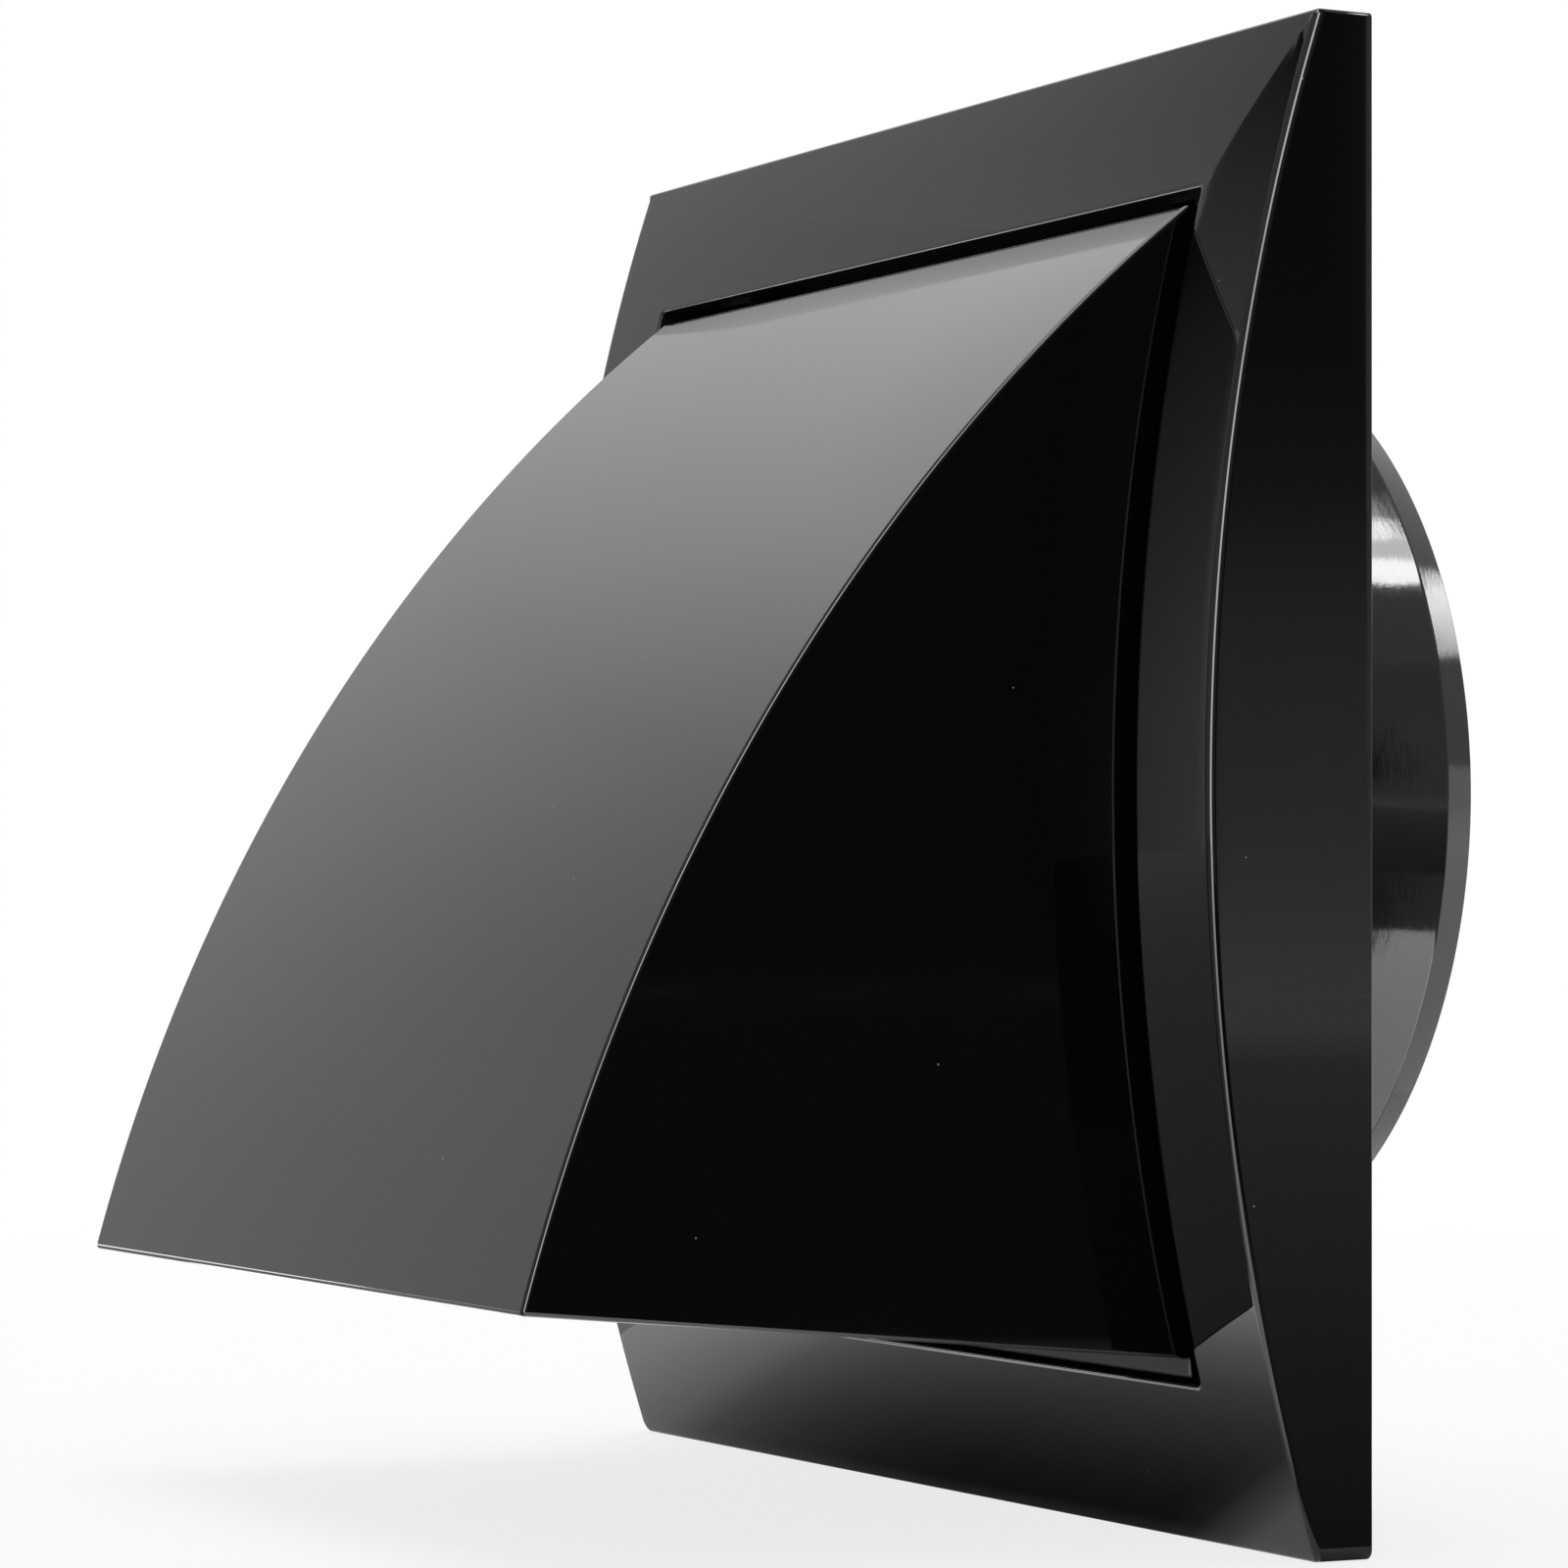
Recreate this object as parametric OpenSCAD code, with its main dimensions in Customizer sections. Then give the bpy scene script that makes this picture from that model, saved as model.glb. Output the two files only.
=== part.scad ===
// Wall exhaust vent hood with a gravity flap.
// X runs across the plate, Y runs back into the wall, Z is up.
// The origin is the centre of the duct in the plane of the wall.

/* [Duct] */
// Outer diameter of the spigot that enters the duct
spigot_d = 101.6; // [80:0.1:130]
// Length of the spigot behind the wall plane
spigot_len = 28.2; // [15:0.1:80]
// Wall of the spigot
spigot_wall = 2.2; // [1.6:0.1:3]
// Length of the tapered end of the spigot
taper_len = 3.8; // [2:0.1:8]
// How much the tapered end closes in on each side
taper_in = 1.4; // [0.5:0.1:2]

/* [Plate] */
// Width of the plate beside the window, on each side
border_w = 13.55; // [9:0.05:30]
// Height of the plate above and below the window
border_h = 15.85; // [9:0.05:30]
// Depth of the plate at its top and bottom edges
edge_depth = 6.1; // [5:0.1:12]
// Rise of the arched face between those edges
crown = 12.2; // [8:0.1:20]
// Rounding along the arched left and right edges
edge_r = 1; // [0.4:0.1:1.6]
// Wall thickness of the plate
plate_wall = 2.2; // [1.6:0.1:3]
// Thickness of the back wall, where the screws pass
back_wall = 2.5; // [2:0.1:4]
// Thickness of the ribs behind the arched face
rib_t = 1.6; // [1:0.1:3]
// Distance between the two ribs that cross each border
rib_span = 59; // [30:1:90]
// How far the ribs stay back from the wall plane
rib_setback = 1; // [0.5:0.1:2]

/* [Window] */
// Room between the spigot and the window, left and right
window_side = 9.65; // [8.5:0.05:20]
// Room between the spigot and the window, above and below
window_top = 7.35; // [7:0.05:20]

/* [Hood] */
// How far the lower lip stands out from the wall
hood_reach = 81.4; // [76:0.1:110]
// Height of the lip above the bottom of the window
lip_rise = 8.65; // [5:0.05:14]
// Radius of the curved sheet
sheet_r = 203.4; // [170:0.1:300]
// Thickness of the hood
hood_wall = 2; // [1.5:0.1:2.4]
// Draft of the side walls, in degrees
side_draft = 1.08; // [0.3:0.02:1.5]
// Slope of the side walls' lower edge, in degrees
side_slope = 5; // [2:0.5:5.5]
// Gap beside the hood in the window
gap_side = 1.7; // [0.8:0.1:2.2]
// Gap above the hood in the window
gap_top = 1.45; // [0.8:0.05:1.6]
// Gap below the hood in the window
gap_bottom = 0.55; // [0.4:0.05:1]
// Thickness of the rail across the hood's lower back edge
rail_t = 2; // [1.5:0.1:2.4]
// Height of the rail
rail_h = 4.6; // [3.5:0.1:5.2]

/* [Clips] */
// Width of each clip
clip_w = 8; // [4:0.5:12]
// Depth of each clip from front to back
clip_depth = 3.6; // [2.5:0.1:4]
// Height that each clip reaches into its slot
clip_reach = 1.6; // [1:0.1:2]
// Distance from the hood's side to each clip
clip_inset = 3.6; // [2:0.1:12]
// Play round each clip in its slot
clip_play = 0.3; // [0.2:0.05:0.5]

/* [Flap] */
// How far the flap laps over the bore on each side
flap_lap = 2.9; // [2.2:0.1:4]
// Thickness of the flap
flap_t = 1.6; // [1:0.1:2]
// Height of the flap's rim and ribs
flap_rib_h = 1.5; // [0.8:0.1:2]
// Thickness of the flap's rim and ribs
flap_rib_t = 1.6; // [1:0.1:2.5]
// Distance between the flap's two ribs
flap_rib_span = 36; // [20:1:50]
// How far the ribs hang below the pin
flap_rib_len = 88; // [40:1:92]
// Gap between the flap and its seat
flap_gap = 0.3; // [0.2:0.05:0.5]
// Height of the seat ring round the bore
seat_h = 2; // [1.5:0.1:3]
// Thickness of the seat ring
seat_t = 2; // [1.2:0.1:2.2]

/* [Hinge] */
// Diameter of the hinge pin
pin_d = 2; // [1.5:0.1:2.2]
// Running clearance of the flap on the pin, on the radius
pin_play = 0.05; // [0.02:0.01:0.1]
// Clearance of the pin in the ears, on the radius
ear_play = 0.02; // [0.01:0.01:0.05]
// Wall round the pin in the flap's barrel
barrel_wall = 0.85; // [0.6:0.05:1]
// Length of the flap's barrel
barrel_len = 60; // [30:1:66]
// How far the barrel stays in front of the flap's back face
barrel_lead = 0.2; // [0.1:0.05:0.4]
// Height of the pin above the bore
hinge_rise = 2.4; // [2.2:0.1:2.8]
// Thickness of each ear
ear_t = 3; // [2:0.1:4]
// Wall that each ear has outside the barrel's size
ear_wall = 0.7; // [0.5:0.1:0.8]
// End play between the barrel and each ear
end_play = 0.4; // [0.2:0.05:0.8]
// How far the pin stands out of each ear
pin_proud = 0.8; // [0.4:0.1:2]

/* [Fixing] */
// Diameter of the four screw holes
screw_d = 4.5; // [3.5:0.1:5.5]
// Distance from the window's side walls to each screw hole
screw_in_x = 10.45; // [8:0.05:12]
// Distance from the window's top and bottom walls to each screw hole
screw_in_z = 8.15; // [7:0.05:10]
// Width of the raised ring round each screw hole
pad_t = 2; // [1:0.1:2.5]
// Height of that ring
pad_h = 0.8; // [0.4:0.1:1.5]

/* [Hidden] */
$fn = 96;
over = 1;
spigot_r = spigot_d / 2;
bore_r = spigot_r - spigot_wall;
window_w = spigot_d + 2 * window_side;
window_h = spigot_d + 2 * window_top;
plate_w = window_w + 2 * border_w;
plate_h = window_h + 2 * border_h;
arch_r = (pow(plate_h / 2, 2) + pow(crown, 2)) / (2 * crown);
arch_y = arch_r - edge_depth - crown;
deep = hood_reach + over;
hood_top = window_h / 2 - gap_top;
hood_bottom = -window_h / 2 + gap_bottom;
hood_half = window_w / 2 - gap_side;
lip_z = -window_h / 2 + lip_rise;
top_y = face_y(hood_top);
rail_y = face_y(hood_bottom);
chord = [-hood_reach - top_y, lip_z - hood_top];
half_chord = norm(chord) / 2;
to_axis = sqrt(pow(sheet_r, 2) - pow(half_chord, 2));
sheet_y = top_y + chord[0] / 2 - chord[1] / (2 * half_chord) * to_axis;
sheet_z = hood_top + chord[1] / 2 + chord[0] / (2 * half_chord) * to_axis;
seat_y = -back_wall - seat_h;
flap_y = seat_y - flap_gap;
flap_r = bore_r + flap_lap;
barrel_r = pin_d / 2 + pin_play + barrel_wall;
hinge_y = flap_y - barrel_lead - barrel_r;
hinge_z = bore_r + hinge_rise;
shoulder_z = sqrt(pow(flap_r, 2) - pow(barrel_len / 2, 2));
ear_r = barrel_r + ear_wall;
ear_x = barrel_len / 2 + end_play;
clip_x = hood_half - clip_inset - clip_w;
clip_y = -back_wall - clip_play - clip_depth;
screw_x = window_w / 2 - screw_in_x;
screw_z = window_h / 2 - screw_in_z;

// Y of the arched face at height z
function face_y(z) = arch_y - sqrt(pow(arch_r, 2) - pow(z, 2));

// A shape drawn in Y and Z, carried across the width w
module across(w) {
  rotate([90, 0, 90]) linear_extrude(height = w, center = true) children();
}

// A box given by its size across, and by its limits in Y and Z
module slab(w, y0, y1, z0, z1) {
  translate([-w / 2, y0, z0]) cube([w, y1 - y0, z1 - z0]);
}

// A solid turned about the arch's axis, so its outer face is the arched face
module arched(w, r, round_r) {
  translate([0, arch_y, 0]) rotate([0, 90, 0]) rotate_extrude($fn = 360) {
    translate([0, round_r - w / 2]) square([r, w - 2 * round_r]);
    if (round_r > 0) for (s = [-1, 1]) translate([r - round_r, s * (w / 2 - round_r)]) circle(r = round_r);
    translate([0, -w / 2]) square([r - round_r, w]);
  }
}

// The space under the arched face, less an inset on every side
module under_face(inset, round_r, y_back) {
  intersection() {
    arched(plate_w - 2 * inset, arch_r - inset, round_r);
    slab(plate_w, -edge_depth - crown - over, y_back, -plate_h / 2 + inset, plate_h / 2 - inset);
  }
}

// Both clips of one edge, as a shape drawn in Y and Z
module clip_pair(w, z) {
  for (s = [-1, 1]) translate([s * (clip_x + clip_w / 2), 0, z]) across(w) children();
}

module ribs() {
  for (s = [-1, 1]) {
    translate([0, 0, s * rib_span / 2]) slab(plate_w, -plate_h, -rib_setback, -rib_t / 2, rib_t / 2);
    translate([s * rib_span / 2, 0, 0]) slab(rib_t, -plate_h, -rib_setback, -plate_h / 2, plate_h / 2);
  }
}

// The hollow behind the arched face, round the window's walls
module hollow() {
  difference() {
    under_face(plate_wall, 0, over);
    slab(window_w + 2 * plate_wall, -plate_h, 2 * over, -window_h / 2 - plate_wall, window_h / 2 + plate_wall);
    ribs();
  }
}

module spigot() {
  rotate([-90, 0, 0]) {
    translate([0, 0, -back_wall]) cylinder(r = spigot_r, h = back_wall + spigot_len - taper_len);
    translate([0, 0, spigot_len - taper_len]) cylinder(r1 = spigot_r, r2 = spigot_r - taper_in, h = taper_len);
  }
}

module hinge_ears() {
  for (s = [-1, 1]) translate([s * (ear_x + ear_t / 2), 0, 0]) across(ear_t) difference() {
    union() {
      translate([hinge_y, hinge_z]) circle(r = ear_r);
      translate([hinge_y, hinge_z - ear_r]) square([-back_wall / 2 - hinge_y, 2 * ear_r]);
    }
    translate([hinge_y, hinge_z]) circle(r = pin_d / 2 + ear_play);
  }
}

module base_frame() {
  color("#1d1d1f") difference() {
    union() {
      difference() {
        under_face(0, edge_r, 0);
        hollow();
        slab(window_w, -plate_h, -back_wall, -window_h / 2, window_h / 2);
        clip_slots();
      }
      spigot();
      rotate([90, 0, 0]) cylinder(r = bore_r + seat_t, h = -seat_y);
      for (x = [-screw_x, screw_x], z = [-screw_z, screw_z])
        translate([x, 0, z]) rotate([90, 0, 0]) cylinder(d = screw_d + 2 * pad_t, h = back_wall + pad_h);
      hinge_ears();
    }
    translate([0, spigot_len + over, 0]) rotate([90, 0, 0])
      cylinder(r = bore_r, h = spigot_len - seat_y + 2 * over);
    for (x = [-screw_x, screw_x], z = [-screw_z, screw_z])
      translate([x, over, z]) rotate([90, 0, 0]) cylinder(d = screw_d, h = back_wall + pad_h + 2 * over);
  }
}

// The slots in the window's top and bottom walls that the clips snap into
module clip_slots() {
  for (s = [-1, 1]) clip_pair(clip_w + 2 * clip_play, s * window_h / 2)
    translate([clip_y - clip_play, -plate_wall - over]) square([clip_depth + 2 * clip_play, 2 * (plate_wall + over)]);
}

// The hood's outline in plan, which narrows towards the front
module plan_taper(half) {
  front = half - (deep - back_wall) * tan(side_draft);
  linear_extrude(height = 2 * plate_h, center = true)
    polygon([[-half, -back_wall], [half, -back_wall], [front, -deep], [-front, -deep]]);
}

// The hood's side outline: the curved sheet's circle, cut by the flange above and the side walls' edge below
module side_outline() {
  slope = tan(side_slope);
  intersection() {
    translate([sheet_y, sheet_z]) circle(r = sheet_r, $fn = 360);
    polygon([
      [-back_wall, hood_top],
      [-deep, hood_top],
      [-deep, lip_z + (deep - hood_reach) * slope],
      [-back_wall, lip_z - (hood_reach - back_wall) * slope]
    ]);
  }
}

module hood_inside() {
  intersection() {
    across(plate_w) intersection() {
      translate([sheet_y, sheet_z]) circle(r = sheet_r - hood_wall, $fn = 360);
      translate([-deep, -plate_h]) square([deep, plate_h + hood_top - hood_wall]);
    }
    translate([0, over, 0]) plan_taper(hood_half - hood_wall + over * tan(side_draft));
  }
}

// The rail: a floor in the window with a low upright along its front
module rail() {
  across(plate_w) union() {
    translate([rail_y, hood_bottom]) square([-back_wall - rail_y, rail_t]);
    translate([rail_y, hood_bottom]) square([rail_t, rail_h]);
  }
}

// The clips: wedges that slide past the window's edge and catch in its slots
module clips(z, up) {
  reach = clip_reach + (up > 0 ? gap_top : gap_bottom);
  clip_pair(clip_w, z) polygon([
    [clip_y, -up * hood_wall / 2],
    [clip_y, up * reach],
    [clip_y + clip_depth / 2, up * reach],
    [clip_y + clip_depth, 0],
    [clip_y + clip_depth, -up * hood_wall / 2]
  ]);
}

module hood_cowl() {
  color("#2b2b2e") {
    difference() {
      intersection() {
        across(plate_w) side_outline();
        plan_taper(hood_half);
      }
      hood_inside();
    }
    intersection() {
      rail();
      plan_taper(hood_half);
    }
    clips(hood_top, 1);
    clips(hood_bottom, -1);
  }
}

module backdraft_flap() {
  color("#303034") difference() {
    union() {
      intersection() {
        rotate([90, 0, 0]) cylinder(r = flap_r, h = -flap_y + flap_t);
        slab(2 * deep, flap_y - flap_t, flap_y, -deep, hinge_z);
      }
      slab(barrel_len, flap_y - flap_t, flap_y, 0, hinge_z);
      intersection() {
        rotate([90, 0, 0]) difference() {
          cylinder(r = flap_r, h = -flap_y + flap_t + flap_rib_h);
          cylinder(r = flap_r - flap_rib_t, h = 2 * deep, center = true);
        }
        slab(2 * deep, flap_y - flap_t - flap_rib_h, flap_y, -deep, shoulder_z - flap_rib_t);
      }
      for (s = [-1, 1]) translate([s * flap_rib_span / 2, 0, 0])
        slab(flap_rib_t, flap_y - flap_t - flap_rib_h, flap_y, hinge_z - flap_rib_len, hinge_z);
      translate([0, hinge_y, hinge_z]) rotate([0, 90, 0]) cylinder(r = barrel_r, h = barrel_len, center = true);
    }
    translate([0, hinge_y, hinge_z]) rotate([0, 90, 0])
      cylinder(r = pin_d / 2 + pin_play, h = barrel_len + 2 * over, center = true);
  }
}

module flap_pin() {
  color("#b4b7ba") translate([0, hinge_y, hinge_z]) rotate([0, 90, 0])
    cylinder(d = pin_d, h = 2 * (ear_x + ear_t + pin_proud), center = true);
}

base_frame();
hood_cowl();
backdraft_flap();
flap_pin();
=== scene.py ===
import math
import bpy
import numpy as np
from mathutils import Matrix, Vector


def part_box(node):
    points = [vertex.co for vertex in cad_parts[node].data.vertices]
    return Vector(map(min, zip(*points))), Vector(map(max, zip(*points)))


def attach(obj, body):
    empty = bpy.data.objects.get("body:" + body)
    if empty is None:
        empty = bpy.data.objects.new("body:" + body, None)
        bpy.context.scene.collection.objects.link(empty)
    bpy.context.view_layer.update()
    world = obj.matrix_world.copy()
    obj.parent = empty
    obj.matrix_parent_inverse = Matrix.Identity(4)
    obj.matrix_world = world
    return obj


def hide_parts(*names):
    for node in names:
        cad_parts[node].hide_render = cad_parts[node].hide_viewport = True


# A black moulded exhaust vent hood for a wall: a plate with an arched face, a curved hood in its window,
# a round duct spigot behind and a gravity flap inside. Lengths in the dictionaries are millimetres.

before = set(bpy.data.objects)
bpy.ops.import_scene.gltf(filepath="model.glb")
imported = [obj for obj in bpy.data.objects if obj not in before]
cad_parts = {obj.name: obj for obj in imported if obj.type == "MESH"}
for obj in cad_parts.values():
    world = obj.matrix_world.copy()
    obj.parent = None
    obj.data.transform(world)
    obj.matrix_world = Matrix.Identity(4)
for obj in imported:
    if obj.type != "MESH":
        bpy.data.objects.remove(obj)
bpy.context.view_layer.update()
mm = 0.001


# Small tools for meshes

def makePiece(name, points, faces, slot=None, body=None):
    # Points in millimetres and faces by index become one mesh with its faces outwards
    mesh = bpy.data.meshes.new(name)
    mesh.from_pydata((np.reshape(points, (-1, 3)) * mm).tolist(), [], faces)
    mesh.update()
    if signedVolume(mesh) < 0:
        mesh.flip_normals()
    piece = bpy.data.objects.new(name, mesh)
    bpy.context.scene.collection.objects.link(piece)
    return piece


def signedVolume(mesh):
    # Sum of the tetrahedra between the origin and each triangle
    mesh.calc_loop_triangles()
    corners = np.zeros(len(mesh.loop_triangles) * 3, np.int32)
    mesh.loop_triangles.foreach_get("vertices", corners)
    co = np.zeros(len(mesh.vertices) * 3)
    mesh.vertices.foreach_get("co", co)
    p = co.reshape(-1, 3)[corners.reshape(-1, 3)]
    return float((p[:, 0] * np.cross(p[:, 1], p[:, 2])).sum())


def gridFaces(rows, cols, closedRows):
    # Quads of a grid whose columns close on themselves, and its rows too where the section is a ring
    index = np.arange(rows * cols).reshape(rows, cols)
    here, there = (index, np.roll(index, -1, 0)) if closedRows else (index[:-1], index[1:])
    return np.stack([here, np.roll(here, -1, 1), np.roll(there, -1, 1), there], -1).reshape(-1, 4).tolist()


def bake(piece, tools=()):
    # The piece's modifiers go into its mesh, and the tools that cut it are deleted
    graph = bpy.context.evaluated_depsgraph_get()
    mesh = bpy.data.meshes.new_from_object(piece.evaluated_get(graph))
    piece.modifiers.clear()
    piece.data = mesh
    for tool in tools:
        bpy.data.objects.remove(tool)


def combine(piece, operation, tool, solver="EXACT"):
    step = piece.modifiers.new(operation.lower(), "BOOLEAN")
    step.operation, step.object, step.solver = operation, tool, solver
    return step


def roundEdges(piece, width, segments=3, angle=30):
    step = piece.modifiers.new("edge rounding", "BEVEL")
    step.width, step.segments, step.limit_method = width * mm, segments, "ANGLE"
    step.angle_limit = math.radians(angle)
    step.use_clamp_overlap = True
    return step


def smooth(piece, angle=31):
    # Smooth shading with sharp edges past the angle, and normals that follow the larger faces
    mesh = piece.data
    mesh.polygons.foreach_set("use_smooth", np.ones(len(mesh.polygons), bool))
    mesh.set_sharp_from_angle(angle=math.radians(angle))
    step = piece.modifiers.new("weighted normals", "WEIGHTED_NORMAL")
    step.keep_sharp = True
    step.weight = 50


def unit(v):
    return v / np.linalg.norm(v, axis=-1, keepdims=True)


def roundedEdge(corner, back, ahead, radius, steps):
    # A true circular arc that touches both directions, as a rational quadratic through the corner
    half = np.arccos(np.clip((back * ahead).sum(-1, keepdims=True), -1, 1)) / 2
    reach = radius / np.tan(half)
    u = np.linspace(0, 1, steps + 1)[:, None, None]
    a, b, c = (1 - u) ** 2, 2 * np.sin(half) * u * (1 - u), u ** 2
    return (a * (corner + back * reach) + b * corner + c * (corner + ahead * reach)) / (a + b + c)


# The plate with its window, back wall and spigot

plate = {
    "half": (74.0, 74.0),           # half the plate's width and height
    # rounding of the plate's corners, seen from the front: top right, top left, bottom left, bottom right
    "outlineCorner": (0.5, 0.6, 1.6, 1.0),
    "edgeDepth": 6.1,               # depth of the top and bottom edges
    "crown": 12.2,                  # rise of the arched face between them
    "wall": 2.2,
    "sideEdge": (0.6, 1.0),         # rounding along the arched left and right edges, at the bottom and at the top
    "topEdge": 0.45,                # rounding along the straight top and bottom edges
    "window": (60.45, 58.15),
    "windowCorner": 0.7,
    # where the face turns into the window it dips by a few degrees over this width before the true rounding
    "dipWidth": 0.5,
    "dipAngle": (math.radians(1.5), math.radians(10)),  # at the sides, and at the top and bottom
    "dipRadius": 0.7,
    "mouthEdge": 0.22,
    "backWall": 2.5,
    "spigotRadius": 50.8,
    "boreRadius": 48.6,
    "spigotLength": 28.2,
    "taper": (3.8, 1.4),            # length of the tapered end, and how much it closes in
    "seat": (2.0, 2.0),             # height and thickness of the flap's seat ring
    "fineEdge": 0.3,
    "backEdge": 0.12,               # the outer edge that lies against the wall
}
hinge = {"y": -6.9, "z": 51.0, "earRadius": 2.6, "earX": 30.4, "earWidth": 3.0, "pinRadius": 1.0, "play": 0.02}
sides = {"perSide": 64, "perCorner": 16}

archRadius = (plate["half"][1] ** 2 + plate["crown"] ** 2) / (2 * plate["crown"])
archAxis = archRadius - plate["edgeDepth"] - plate["crown"]


def faceY(z, radius):
    return archAxis - np.sqrt(radius ** 2 - z ** 2)


def outline(halfX, halfZ, corner):
    # A rectangle with round corners: straight runs and quarter circles in turn, from the right side round
    # the top. Gives the points and the outward directions, both in X and Z. The corner's radius may differ.
    points, outs = [], []
    radii = np.broadcast_to(corner, 4)
    run = np.linspace(0, 1, sides["perSide"], endpoint=False)[:, None]
    turn = np.linspace(0, math.pi / 2, sides["perCorner"], endpoint=False)[:, None]
    for quarter in range(4):
        n = np.array([math.cos(quarter * math.pi / 2), math.sin(quarter * math.pi / 2)])
        t = np.array([-n[1], n[0]])
        far, wide = (halfX, halfZ) if quarter % 2 == 0 else (halfZ, halfX)
        before, after = radii[quarter - 1], radii[quarter]
        points.append(far * n + (before - wide + run * (2 * wide - before - after)) * t)
        outs.append(np.repeat(n[None], len(run), 0))
        bend = np.cos(turn) * n + np.sin(turn) * t
        points.append((far - after) * n + (wide - after) * t + after * bend)
        outs.append(bend)
    return np.concatenate(points), np.concatenate(outs)


def circle(radius):
    # Evenly spaced, and turned so that its points face the rectangle's
    count = 4 * (sides["perSide"] + sides["perCorner"])
    a = (np.arange(count) - sides["perSide"] / 2) * 2 * math.pi / count
    out = np.stack([np.cos(a), np.sin(a)], -1)
    return out * radius, out


def place(xz, y):
    return np.stack([xz[:, 0], np.broadcast_to(y, len(xz)), xz[:, 1]], -1)


def flatDirection(xz):
    return place(xz, 0.0)


def along(y):
    count = 4 * (sides["perSide"] + sides["perCorner"])
    return np.repeat(np.array([[0.0, y, 0.0]]), count, 0)


def faceDirection(xz, out, radius):
    # The outward direction laid into the arched surface at that point
    y = faceY(xz[:, 1], radius)
    normal = unit(place(np.stack([np.zeros(len(xz)), xz[:, 1]], -1), y - archAxis))
    d = flatDirection(out)
    return unit(d - (d * normal).sum(-1, keepdims=True) * normal)


def between(start, end, steps, radius=None):
    # Rings between two rings, laid onto the arched surface if its radius is given
    t = np.linspace(0, 1, steps + 2)[1:-1, None, None]
    rings = start + t * (end - start)
    if radius is not None:
        rings[..., 1] = faceY(rings[..., 2], radius)
    return rings


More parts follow.
